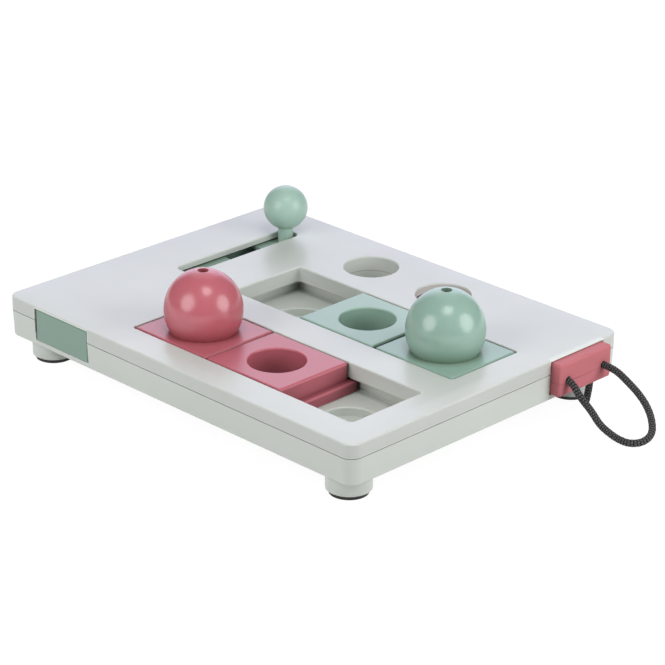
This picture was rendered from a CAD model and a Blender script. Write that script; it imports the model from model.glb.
"""The looks of the cat puzzle feeder: camera, light, rope, moulded plastics and small pieces.

Metres, +Z up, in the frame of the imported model. The board's long side runs along X, its front long
side faces -Y and the rope drawer's end faces +X.
"""
import math

import bpy
import numpy as np
from mathutils import Matrix, Vector


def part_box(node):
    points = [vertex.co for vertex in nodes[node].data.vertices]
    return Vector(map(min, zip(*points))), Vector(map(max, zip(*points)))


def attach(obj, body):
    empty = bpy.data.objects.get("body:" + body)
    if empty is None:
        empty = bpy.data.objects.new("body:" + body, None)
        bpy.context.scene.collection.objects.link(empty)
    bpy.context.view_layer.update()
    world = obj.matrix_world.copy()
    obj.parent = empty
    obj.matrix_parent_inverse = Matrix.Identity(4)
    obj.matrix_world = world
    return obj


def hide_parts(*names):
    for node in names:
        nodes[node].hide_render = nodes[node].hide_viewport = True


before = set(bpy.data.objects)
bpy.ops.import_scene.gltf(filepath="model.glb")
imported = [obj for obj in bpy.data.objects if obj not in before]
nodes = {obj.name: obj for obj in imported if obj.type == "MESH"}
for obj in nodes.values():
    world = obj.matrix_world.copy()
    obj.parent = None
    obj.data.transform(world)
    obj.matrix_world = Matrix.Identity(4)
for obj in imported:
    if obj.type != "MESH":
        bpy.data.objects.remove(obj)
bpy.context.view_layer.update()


# Camera

def make_camera():
    """A perspective camera at the photograph's angle: a turn round the board, a rise above the
    horizon, a small roll, and two shifts that put the board where it is in the picture."""
    turn, rise, roll = np.radians([45.043, 23.529, 0.377])
    aim = np.array([-0.0029, 0.0, 0.0235])
    shift_right = -0.012061
    shift_up = 0.000531
    distance = 1.341
    level = np.array([math.sin(turn), -math.cos(turn), 0.0])
    back = math.cos(rise) * level + math.sin(rise) * np.array([0.0, 0.0, 1.0])
    level_right = np.array([math.cos(turn), math.sin(turn), 0.0])
    level_up = np.cross(back, level_right)
    right = math.cos(roll) * level_right + math.sin(roll) * level_up
    up = -math.sin(roll) * level_right + math.cos(roll) * level_up
    place = aim - shift_right * right - shift_up * up + distance * back
    data = bpy.data.cameras.new("photo_camera")
    data.sensor_width = 36.0
    data.lens = 142.76
    data.clip_start = 0.05
    data.clip_end = 50.0
    camera = bpy.data.objects.new("photo_camera", data)
    bpy.context.scene.collection.objects.link(camera)
    turned = Matrix((right, up, back)).transposed().to_4x4()
    camera.matrix_world = Matrix.Translation(Vector(place)) @ turned
    bpy.context.scene.camera = camera


make_camera()


# Meshes from numpy arrays

def mesh_piece(name, points, faces, uv=None):
    """A smoothly shaded mesh object from an array of points and an array of corner numbers, one row a
    face. uv gives one pair per point."""
    mesh = bpy.data.meshes.new(name)
    points = np.asarray(points, np.float32).reshape(-1, 3)
    faces = np.asarray(faces, np.int32)
    sides = faces.shape[1]
    mesh.vertices.add(len(points))
    mesh.vertices.foreach_set("co", points.ravel())
    mesh.loops.add(faces.size)
    mesh.loops.foreach_set("vertex_index", faces.ravel())
    mesh.polygons.add(len(faces))
    mesh.polygons.foreach_set("loop_start", np.arange(0, faces.size, sides, dtype=np.int32))
    mesh.update(calc_edges=True)
    mesh.validate()
    mesh.polygons.foreach_set("use_smooth", np.full(len(mesh.polygons), True))
    if uv is not None:
        layer = mesh.uv_layers.new(name="along")
        layer.data.foreach_set("uv", np.asarray(uv, np.float32)[faces.ravel()].ravel())
    piece = bpy.data.objects.new(name, mesh)
    bpy.context.scene.collection.objects.link(piece)
    return piece


def tube_faces(rings, sides):
    """The four-cornered faces of an open-ended tube, from rings of points with so many sides each."""
    ring = np.arange(rings - 1)[:, None]
    side = np.arange(sides)[None, :]
    next_ring = ring + 1
    next_side = (side + 1) % sides
    corners = [ring * sides + side, ring * sides + next_side,
               next_ring * sides + next_side, next_ring * sides + side]
    return np.stack(corners, -1).reshape(-1, 4)


# Rope

ROPE_RADIUS = 0.00175

# The routes of the loop and of its tail, each from inside the drawer's front
ROPE_POINTS = [
    (0.1255, 0.0493, 0.0237),
    (0.1299, 0.0493, 0.0237),
    (0.1364, 0.0486, 0.0176),
    (0.1412, 0.0521, 0.0104),
    (0.1464, 0.0523, 0.0049),
    (0.1528, 0.0523, 0.0024),
    (0.1599, 0.0507, 0.0020),
    (0.1667, 0.0510, 0.00195),
    (0.1712, 0.0560, 0.0027),
    (0.1711, 0.0628, 0.0050),
    (0.1652, 0.0690, 0.0090),
    (0.1580, 0.0734, 0.0126),
    (0.1506, 0.0756, 0.0161),
    (0.1434, 0.0759, 0.0197),
    (0.1368, 0.0763, 0.0226),
    (0.1302, 0.0759, 0.0237),
    (0.1255, 0.0759, 0.0237),
]
TAIL_POINTS = [
    (0.1228, 0.0742, 0.0218),
    (0.1236, 0.0714, 0.0196),
    (0.1236, 0.0714, 0.0148),
    (0.1235, 0.0710, 0.0102),
    (0.1231, 0.0700, 0.0043),
]


def route_line(name, points):
    """The smooth line of a rope: a NURBS spline of order 3 through its two end points, with the
    route's points as its control points, read back as an array of places."""
    curve = bpy.data.curves.new(name, "CURVE")
    curve.dimensions = "3D"
    curve.resolution_u = 24
    spline = curve.splines.new("NURBS")
    spline.points.add(len(points) - 1)
    spline.points.foreach_set("co", np.c_[np.array(points), np.ones(len(points))].ravel())
    spline.order_u = 3
    spline.use_endpoint_u = True
    holder = bpy.data.objects.new(name, curve)
    bpy.context.scene.collection.objects.link(holder)
    mesh = bpy.data.meshes.new_from_object(holder)
    line = np.zeros(len(mesh.vertices) * 3)
    mesh.vertices.foreach_get("co", line)
    bpy.data.meshes.remove(mesh)
    bpy.data.objects.remove(holder)
    return line.reshape(-1, 3)


def along(line, step):
    """Points at even steps along a line: how far along each is, its place, and two directions across
    the line that turn as little as they can from point to point."""
    gaps = np.linalg.norm(np.diff(line, axis=0), axis=1)
    way = np.r_[0.0, np.cumsum(gaps)]
    even = np.linspace(0.0, way[-1], int(way[-1] / step))
    places = np.stack([np.interp(even, way, line[:, axis]) for axis in range(3)], 1)
    heading = np.gradient(places, axis=0)
    heading /= np.linalg.norm(heading, axis=1)[:, None]
    across = np.zeros_like(places)
    start = np.cross(heading[0], [0.0, 0.3, 1.0])
    across[0] = start / np.linalg.norm(start)
    for number in range(1, len(places)):
        flat = across[number - 1] - heading[number] * (across[number - 1] @ heading[number])
        across[number] = flat / np.linalg.norm(flat)
    return even, places, across, np.cross(heading, across)


def braid(name, line, radius, strands=8, pitch=0.0116, step=0.00026):
    """A braided cover round a line: strands that wind both ways as helices, each a flat oval ribbon. A
    strand's distance from the line swings with sin(half the strands * its turn + an eighth of a turn),
    with flat tops, outwards for one hand while inwards for the other, so it passes over two and under
    two of those that wind the other way. The first mark of each point says how far out its strand is
    there, from 0 to 1, and the second where the point is round the strand. A plain core fills the
    middle."""
    way, places, across, third = along(line, step)
    sides = 6
    core_sides = 20
    rim = np.linspace(0.0, 2 * math.pi, sides, endpoint=False)
    wide = 0.66 * math.pi * radius / strands
    thin = 0.14 * radius
    swing = 0.075 * radius
    middle = 1.075 * radius - thin - swing
    flattened = 1.25
    points, faces, marks = [], [], []
    count = 0
    for hand in (1, -1):
        for number in range(strands):
            own = 2 * math.pi * way / pitch
            angle = hand * own + 2 * math.pi * number / strands
            lift = np.clip(flattened * np.sin(strands / 2 * own + math.pi / 4), -1, 1)
            distance = middle + hand * swing * lift
            outward = np.cos(angle)[:, None] * across + np.sin(angle)[:, None] * third
            centre = places + distance[:, None] * outward
            run = np.gradient(centre, axis=0)
            run /= np.linalg.norm(run, axis=1)[:, None]
            flat = np.cross(outward, run)
            ring = (centre[:, None] + wide * np.cos(rim)[None, :, None] * flat[:, None]
                    + thin * np.sin(rim)[None, :, None] * outward[:, None])
            points.append(ring.reshape(-1, 3))
            faces.append(tube_faces(len(way), sides) + count)
            share = 0.5 + 0.5 * hand * lift
            round_share = np.tile(rim / (2 * math.pi), len(way))
            marks.append(np.stack([np.repeat(share, sides), round_share], 1))
            count += len(way) * sides
    rim = np.linspace(0.0, 2 * math.pi, core_sides, endpoint=False)[None, :, None]
    outward = np.cos(rim) * across[:, None] + np.sin(rim) * third[:, None]
    core = places[:, None] + (radius - 2 * thin - 2 * swing) * outward
    points.append(core.reshape(-1, 3))
    faces.append(tube_faces(len(way), core_sides)[:, ::-1] + count)
    marks.append(np.zeros((len(way) * core_sides, 2)))
    return mesh_piece(name, np.concatenate(points), np.concatenate(faces), uv=np.concatenate(marks))


def loop_knot(name, low, high):
    """An overhand knot: a braid along a trefoil, (sin t + 2 sin 2t, cos t - 2 cos 2t, -sin 3t),
    fitted to the box of the solid it stands for and pulled a fifth thinner than the free rope."""
    centre = (np.array(low) + np.array(high)) / 2
    half = (np.array(high) - np.array(low)) / 2
    turn = np.linspace(0.0, 2 * math.pi, 161)
    line = np.stack([-np.sin(3 * turn), (np.sin(turn) + 2 * np.sin(2 * turn)) / 3,
                     (np.cos(turn) - 2 * np.cos(2 * turn)) / 3], 1)
    tight = 0.8 * ROPE_RADIUS
    return braid(name, centre + line * (half - tight), tight, strands=4, pitch=0.0060, step=0.0005)


rope_line = route_line("rope_line", ROPE_POINTS)
rope = braid("pull_rope_braid", rope_line, ROPE_RADIUS)
tail_line = route_line("tail_line", TAIL_POINTS)
tail = braid("rope_tail_braid", tail_line, ROPE_RADIUS)
rope_pieces = [rope, tail]
for side in ("left", "right"):
    knot = loop_knot(f"rope_knot_{side}_braid", *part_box(f"rope_knot_{side}"))
    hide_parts(f"rope_knot_{side}")
    rope_pieces.append(knot)
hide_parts("pull_rope")
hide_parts("rope_tail")
for piece in rope_pieces:
    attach(piece, "rope_pull")


# Materials

class Finish:
    """A material's node tree, with short ways to add and join nodes."""

    def __init__(self, name):
        self.material = bpy.data.materials.new(name)
        self.material.use_nodes = True
        self.tree = self.material.node_tree
        self.shader = self.tree.nodes["Principled BSDF"]

    def node(self, kind, **settings):
        """A new node of one kind with its settings."""
        made = self.tree.nodes.new("ShaderNode" + kind)
        for key, value in settings.items():
            setattr(made, key, value)
        return made

    def join(self, source, target):
        """Join one socket to another."""
        self.tree.links.new(source, target)

    def place(self):
        """The piece's own coordinates."""
        return self.node("TexCoord").outputs["Object"]

    def noise(self, scale, detail=3.0, roughness=0.5):
        """A smooth random value over the piece."""
        made = self.node("TexNoise")
        made.inputs["Scale"].default_value = scale
        made.inputs["Detail"].default_value = detail
        made.inputs["Roughness"].default_value = roughness
        self.join(self.place(), made.inputs["Vector"])
        return made.outputs["Fac"]

    def ramp(self, value, low, high, start=0.0, end=1.0):
        """A value carried from one range to another."""
        made = self.node("MapRange")
        made.inputs["From Min"].default_value = start
        made.inputs["From Max"].default_value = end
        made.inputs["To Min"].default_value = low
        made.inputs["To Max"].default_value = high
        self.join(value, made.inputs["Value"])
        return made.outputs["Result"]

    def blend(self, share, first, second):
        """One colour turning into another."""
        made = self.node("Mix", data_type="RGBA")
        self.join(share, made.inputs["Factor"])
        made.inputs["A"].default_value = (*first, 1.0)
        made.inputs["B"].default_value = (*second, 1.0)
        return made.outputs["Result"]

    def height(self):
        """How high each point of the piece is."""
        axes = self.node("SeparateXYZ")
        self.join(self.place(), axes.inputs["Vector"])
        return axes.outputs["Z"]

    def worked(self, operation, first, second=0.0):
        """Two values worked into one by an operation. The second may be a plain number."""
        made = self.node("Math", operation=operation)
        self.join(first, made.inputs[0])
        if isinstance(second, float):
            made.inputs[1].default_value = second
        else:
            self.join(second, made.inputs[1])
        return made.outputs["Value"]

    def level_line(self, height, half):
        """1 at one height, falling to 0 a little above and below it."""
        distance = self.worked("ABSOLUTE", self.worked("SUBTRACT", self.height(), height))
        return self.ramp(distance, 1.0, 0.0, end=half)

    def openness(self, reach, inside=False):
        """How much of what surrounds a point is free as far as reach, outside or inside the piece."""
        made = self.node("AmbientOcclusion", samples=8, inside=inside)
        made.inputs["Distance"].default_value = reach
        return made.outputs["AO"]

    def toward(self, share, colour, other):
        """A colour that comes from a node, turning into a plain other one."""
        both = self.node("Mix", data_type="RGBA")
        self.join(share, both.inputs["Factor"])
        self.join(colour, both.inputs["A"])
        both.inputs["B"].default_value = (*other, 1.0)
        return both.outputs["Result"]

    def creases(self, colour, deep, reach, bare, above, seam):
        """A colour that turns into a deeper one in creases and hollows that lie above a height, and
        along the seam where two shells meet. Places are free of it from the openness bare upwards."""
        closed = self.ramp(self.openness(reach), 1.0, 0.0, end=bare)
        higher = self.ramp(self.height(), 0.0, 1.0, start=above - CREASE_RISE, end=above)
        share = self.worked("MINIMUM", closed, higher)
        if seam:
            share = self.worked("MAXIMUM", share, self.level_line(seam, SEAM_SHADE))
        return self.toward(share, colour, deep)

    def crests(self, colour, pale):
        """A colour that turns paler along the edges that stand out, as handled plastic does."""
        inside = self.openness(CREST_REACH, inside=True)
        share = self.ramp(inside, 1.0, 0.0, start=0.55, end=0.93)
        return self.toward(share, colour, pale)

    def bump(self, height, strength, depth, before=None):
        """Small relief from a height, on top of relief made before."""
        made = self.node("Bump")
        made.inputs["Strength"].default_value = strength
        made.inputs["Distance"].default_value = depth
        self.join(height, made.inputs["Height"])
        if before is not None:
            self.join(before, made.inputs["Normal"])
        return made.outputs["Normal"]


def linear(red, green, blue):
    """A colour written as on a screen, 0 to 255, as light."""
    share = np.array([red, green, blue]) / 255
    return tuple(np.where(share <= 0.04045, share / 12.92, ((share + 0.055) / 1.055) ** 2.4).tolist())


def moulded(name, colour, gloss, reach, least, shine=0.5, bare=1.0, above=0.0, seam=None, crest=0.0):
    """Injection moulded plastic: a fine spark-eroded grain, slow waves of the cooled skin, a colour
    that drifts a little and deepens in creases, and a roughness that differs from place to place
    between the two of gloss. Creases are felt as far as reach, and the deepest keep the share least
    of the colour, turned warmer. Standing edges are lighter by the share crest."""
    finish = Finish(name)
    shader = finish.shader
    patches = finish.noise(22.0, detail=2.0)
    duller = finish.noise(60.0, detail=4.0)
    waves = finish.noise(45.0, detail=1.0)
    grain = finish.noise(1400.0, detail=2.0, roughness=0.6)
    shade = tuple(0.97 * part for part in colour)
    deep = tuple(least * part * warmth for part, warmth in zip(colour, WARMTH))
    drift = finish.ramp(patches, 0.0, 1.0, start=0.35, end=0.65)
    skin_colour = finish.blend(drift, colour, shade)
    if crest:
        skin_colour = finish.crests(skin_colour, tuple(part * (1.0 + crest) for part in colour))
    skin_colour = finish.creases(skin_colour, deep, reach, bare, above, seam)
    finish.join(skin_colour, shader.inputs["Base Color"])
    finish.join(finish.ramp(duller, *gloss, start=0.3, end=0.7), shader.inputs["Roughness"])
    relief = finish.bump(waves, strength=0.12, depth=0.0001)
    finish.skin = finish.bump(grain, strength=0.25, depth=0.000008, before=relief)
    finish.join(finish.skin, shader.inputs["Normal"])
    shader.inputs["IOR"].default_value = 1.5
    shader.inputs["Specular IOR Level"].default_value = shine
    return finish


def witness_line(finish, height, half):
    """A fine raised line that the halves of the mould leave round a piece, at one height."""
    ridge = finish.level_line(height, half)
    relief = finish.bump(ridge, strength=1.0, depth=0.00025, before=finish.skin)
    finish.join(relief, finish.shader.inputs["Normal"])
    return finish


def braided(name):
    """Black braided cord: each strand pale where it lies on top and nearly black where it dives under
    the next, with fine filaments along it and yarn that differs a little from place to place."""
    finish = Finish(name)
    shader = finish.shader
    marks = finish.node("UVMap", uv_map="along").outputs["UV"]
    parts = finish.node("SeparateXYZ")
    finish.join(marks, parts.inputs["Vector"])
    out = finish.ramp(parts.outputs["X"], 0.0, 1.0, start=0.70, end=1.0)
    yarn = finish.ramp(finish.noise(900.0, detail=2.0), 0.75, 1.0, start=0.35, end=0.65)
    share = finish.worked("MULTIPLY", out, yarn)
    finish.join(finish.blend(share, DIVING_STRAND, TOP_STRAND), shader.inputs["Base Color"])
    filaments = finish.node("TexWave", wave_type="BANDS", bands_direction="Y")
    filaments.inputs["Scale"].default_value = 9.0
    filaments.inputs["Distortion"].default_value = 0.6
    finish.join(marks, filaments.inputs["Vector"])
    relief = finish.bump(filaments.outputs["Fac"], strength=0.5, depth=0.00006)
    finish.join(relief, shader.inputs["Normal"])
    shader.inputs["Roughness"].default_value = 0.55
    shader.inputs["Specular IOR Level"].default_value = 0.28
    shader.inputs["Sheen Weight"].default_value = 0.03
    shader.inputs["Sheen Roughness"].default_value = 0.4
    return finish.material


def soft_rubber(name):
    """Matt black rubber with a fine grain, paler in patches as if dusty."""
    finish = Finish(name)
    shader = finish.shader
    drift = finish.ramp(finish.noise(150.0), 0.0, 1.0, start=0.4, end=0.6)
    grain = finish.noise(2500.0, detail=2.0)
    finish.join(finish.blend(drift, CLEAN_RUBBER, DUSTY_RUBBER), shader.inputs["Base Color"])
    finish.join(finish.bump(grain, strength=0.4, depth=0.00003), shader.inputs["Normal"])
    shader.inputs["Roughness"].default_value = 0.72
    return finish.material


def plated(name):
    """Zinc plated steel with a fine grain, brighter and duller in patches."""
    finish = Finish(name)
    shader = finish.shader
    drift = finish.ramp(finish.noise(700.0), 0.0, 1.0, start=0.35, end=0.65)
    duller = finish.noise(1100.0, detail=2.0)
    grain = finish.noise(3200.0, detail=2.0)
    finish.join(finish.blend(drift, DULL_ZINC, BRIGHT_ZINC), shader.inputs["Base Color"])
    finish.join(finish.ramp(duller, 0.22, 0.42), shader.inputs["Roughness"])
    finish.join(finish.bump(grain, strength=0.3, depth=0.00001), shader.inputs["Normal"])
    shader.inputs["Metallic"].default_value = 1.0
    return finish.material


# Heights in the board: the channels' floors and the seam between cover and tray
CHANNEL_FLOOR = 0.0192
SEAM_HEIGHT = 0.0265

# Half the height of the dark line at the seam, and of the parting line's ridge on the rope drawer
SEAM_SHADE = 0.00032
RIDGE_HALF = 0.00022

# The crease shading leaves a channel's floor free, and is full this high above it
FLOOR_CLEAR = 0.0006

# The crease shading grows to full over this height, and a standing edge shows this far from itself
CREASE_RISE = 0.0005
CREST_REACH = 0.001

# How light bounced from wall to wall in a crease tints it, in red, green and blue
WARMTH = (1.10, 0.98, 0.84)

WHITE = linear(203, 207, 202)
TRAY_WHITE = linear(210, 216, 209)
PINK = linear(194, 104, 115)
PINK_BLOCK = linear(188, 101, 113)
PINK_SEAT = linear(185, 101, 112)
DRAWER_PINK = linear(200, 119, 126)
GREEN = linear(156, 187, 173)
GREEN_SEAT = linear(148, 179, 165)
GREEN_DOME = linear(150, 182, 168)
LEVER_GREEN = linear(167, 198, 185)
DEEP_GREEN = linear(134, 162, 148)
DIVING_STRAND = linear(5, 5, 6)
TOP_STRAND = linear(104, 103, 104)
CLEAN_RUBBER = linear(36, 35, 34)
DUSTY_RUBBER = linear(56, 55, 54)
DULL_ZINC = (0.50, 0.51, 0.52)
BRIGHT_ZINC = (0.68, 0.68, 0.67)

# Ranges of roughness
SATIN = (0.285, 0.33)
BRIGHT = (0.20, 0.26)
COVER_SATIN = (0.29, 0.34)
TRAY_SATIN = (0.28, 0.36)
HANDLE_SATIN = (0.30, 0.36)
DULL = (0.34, 0.42)

white = moulded("white_cover_plastic", WHITE, COVER_SATIN, reach=0.0015, least=0.48,
                seam=SEAM_HEIGHT, crest=0.32).material
tray_white = moulded("base_tray_plastic", TRAY_WHITE, TRAY_SATIN, reach=0.008, least=0.10, bare=0.75,
                     above=CHANNEL_FLOOR + FLOOR_CLEAR, seam=SEAM_HEIGHT).material
pink_block = moulded("pink_slider_plastic", PINK_BLOCK, SATIN, reach=0.018, least=0.08, shine=0.4,
                     crest=0.60).material
green_block = moulded("green_slider_plastic", GREEN, SATIN, reach=0.018, least=0.20, shine=0.4,
                      crest=0.40).material
pink_seat = moulded("pink_dome_seat_plastic", PINK_SEAT, SATIN, reach=0.005, least=0.50).material
green_seat = moulded("green_dome_seat_plastic", GREEN_SEAT, SATIN, reach=0.005, least=0.50).material
pink_dome = moulded("pink_dome_plastic", PINK, BRIGHT, reach=0.008, least=0.50, shine=0.65).material
green_dome = moulded("green_dome_plastic", GREEN_DOME, BRIGHT, reach=0.008, least=0.55,
                     shine=0.65).material
lever_green = moulded("lever_handle_plastic", LEVER_GREEN, HANDLE_SATIN, reach=0.004,
                      least=0.70).material
drawer_green = moulded("lever_drawer_plastic", DEEP_GREEN, SATIN, reach=0.003, least=0.75).material
drawer_pink = moulded("rope_drawer_plastic", DRAWER_PINK, DULL, reach=0.005, least=0.50, shine=0.05)
drawer_pink = witness_line(drawer_pink, height=0.0228, half=RIDGE_HALF).material
rope_black = braided("black_braided_cord")
rubber = soft_rubber("black_foot_rubber")
zinc = plated("zinc_plated_screw")

FINISHES = {
    "top_cover": white,
    "base_tray": tray_white,
    "foot_pad_front_left": rubber,
    "foot_pad_front_right": rubber,
    "foot_pad_rear_left": rubber,
    "foot_pad_rear_right": rubber,
    "pink_dome_slider": pink_seat,
    "pink_hole_slider": pink_block,
    "green_hole_slider": green_block,
    "green_dome_slider": green_seat,
    "pink_dome": pink_dome,
    "green_dome": green_dome,
    "lever_drawer": drawer_green,
    "lever_stem": lever_green,
    "lever_ball": lever_green,
    "rope_drawer": drawer_pink,
    "housing_screws": zinc,
    "lever_screw": zinc,
    "pink_dome_screw": zinc,
    "green_dome_screw": zinc,
}


def dress(piece, material):
    """Give a piece one material in all its slots."""
    if not piece.material_slots:
        piece.data.materials.append(material)
    for place in piece.material_slots:
        place.material = material


for name, material in FINISHES.items():
    dress(nodes[name], material)
for piece in rope_pieces:
    dress(piece, rope_black)


# Floor, backdrop and light

PAPER = (0.52, 0.52, 0.515, 1.0)
PLAIN_STRENGTH = 1.33
PLAIN_SHARE = 0.7
FLOOR_HALF = 3.0
LAMP_AIM = Vector((0.0, 0.0, 0.03))


def pale_floor():
    """White paper that takes the board's shadow. Seen straight or in a reflection it is mixed with
    plain white, so that it is pale behind the board, while the light that it throws back stays
    soft."""
    finish = Finish("studio_paper")
    finish.shader.inputs["Base Color"].default_value = PAPER
    finish.shader.inputs["Roughness"].default_value = 0.95
    finish.shader.inputs["Specular IOR Level"].default_value = 0.0
    plain = finish.node("Emission")
    plain.inputs["Color"].default_value = (1.0, 1.0, 1.0, 1.0)
    plain.inputs["Strength"].default_value = PLAIN_STRENGTH
    rays = finish.node("LightPath")
    seen = finish.worked("MAXIMUM", rays.outputs["Is Camera Ray"], rays.outputs["Is Glossy Ray"])
    both = finish.node("MixShader")
    finish.join(finish.worked("MULTIPLY", seen, PLAIN_SHARE), both.inputs["Fac"])
    finish.join(finish.shader.outputs["BSDF"], both.inputs[1])
    finish.join(plain.outputs["Emission"], both.inputs[2])
    finish.join(both.outputs["Shader"], finish.tree.nodes["Material Output"].inputs["Surface"])
    return finish.material


def lamp(name, place, size, power):
    """A round soft lamp that faces the board. Size is its width, and power is in watts."""
    data = bpy.data.lights.new(name, "AREA")
    data.shape = "DISK"
    data.size = size
    data.energy = power
    holder = bpy.data.objects.new(name, data)
    bpy.context.scene.collection.objects.link(holder)
    facing = (LAMP_AIM - Vector(place)).to_track_quat("-Z", "Y")
    holder.matrix_world = Matrix.Translation(Vector(place)) @ facing.to_matrix().to_4x4()


floor_corners = [(-FLOOR_HALF, -FLOOR_HALF, 0), (FLOOR_HALF, -FLOOR_HALF, 0),
                 (FLOOR_HALF, FLOOR_HALF, 0), (-FLOOR_HALF, FLOOR_HALF, 0)]
floor = mesh_piece("studio_floor", floor_corners, [(0, 1, 2, 3)])
dress(floor, pale_floor())
lamp("left_softbox", (-0.09, -0.75, 0.40), 0.60, 3.65)
lamp("right_softbox", (0.85, 0.32, 0.38), 0.70, 5.25)
lamp("top_softbox", (0.35, -0.18, 0.96), 0.44, 2.5)


# Each glow: its middle, the cosine to the middle where it starts, the cosine from which it is full,
# and the light it adds
GLOWS = [
    ((-0.68, 0.69, 0.22), 0.79, 0.975, (1.48, 1.48, 1.92)),
    ((-0.50, 0.50, 0.707), 0.885, 0.965, (0.76, 0.76, 0.76)),
    ((0.0, 0.0, 1.0), 0.05, 0.95, (0.10, 0.10, 0.10)),
    ((0.95, 0.10, 0.25), 0.20, 0.95, (0.15, 0.15, 0.15)),
]
DIM_ROOM = (0.08, 0.08, 0.08, 1.0)


def studio_world():
    """A white room for the light: even all round, with a wide cool glow low behind the board, a round
    one high behind it, a faint one overhead and one from its right, each a smooth step of the cosine
    between a direction and the glow's middle. The camera sees plain white."""
    world = bpy.data.worlds.new("studio")
    bpy.context.scene.world = world
    world.use_nodes = True
    tree = world.node_tree
    direction = tree.nodes.new("ShaderNodeTexCoord").outputs["Generated"]
    light = None
    for middle, start, full, colour in GLOWS:
        facing = tree.nodes.new("ShaderNodeVectorMath")
        facing.operation = "DOT_PRODUCT"
        facing.inputs[1].default_value = middle
        tree.links.new(direction, facing.inputs[0])
        share = tree.nodes.new("ShaderNodeMapRange")
        share.interpolation_type = "SMOOTHSTEP"
        share.inputs["From Min"].default_value = start
        share.inputs["From Max"].default_value = full
        tree.links.new(facing.outputs["Value"], share.inputs["Value"])
        glow = tree.nodes.new("ShaderNodeMix")
        glow.data_type = "RGBA"
        glow.blend_type = "ADD"
        glow.inputs["A"].default_value = DIM_ROOM
        glow.inputs["B"].default_value = (*colour, 1.0)
        tree.links.new(share.outputs["Result"], glow.inputs["Factor"])
        if light is not None:
            tree.links.new(light, glow.inputs["A"])
        light = glow.outputs["Result"]
    lit = tree.nodes["Background"]
    tree.links.new(light, lit.inputs["Color"])
    seen = tree.nodes.new("ShaderNodeBackground")
    both = tree.nodes.new("ShaderNodeMixShader")
    tree.links.new(tree.nodes.new("ShaderNodeLightPath").outputs["Is Camera Ray"], both.inputs["Fac"])
    seen.inputs["Color"].default_value = (1.0, 1.0, 1.0, 1.0)
    tree.links.new(lit.outputs["Background"], both.inputs[1])
    tree.links.new(seen.outputs["Background"], both.inputs[2])
    tree.links.new(both.outputs["Shader"], tree.nodes["World Output"].inputs["Surface"])


studio_world()
bpy.context.scene.view_settings.view_transform = "Standard"
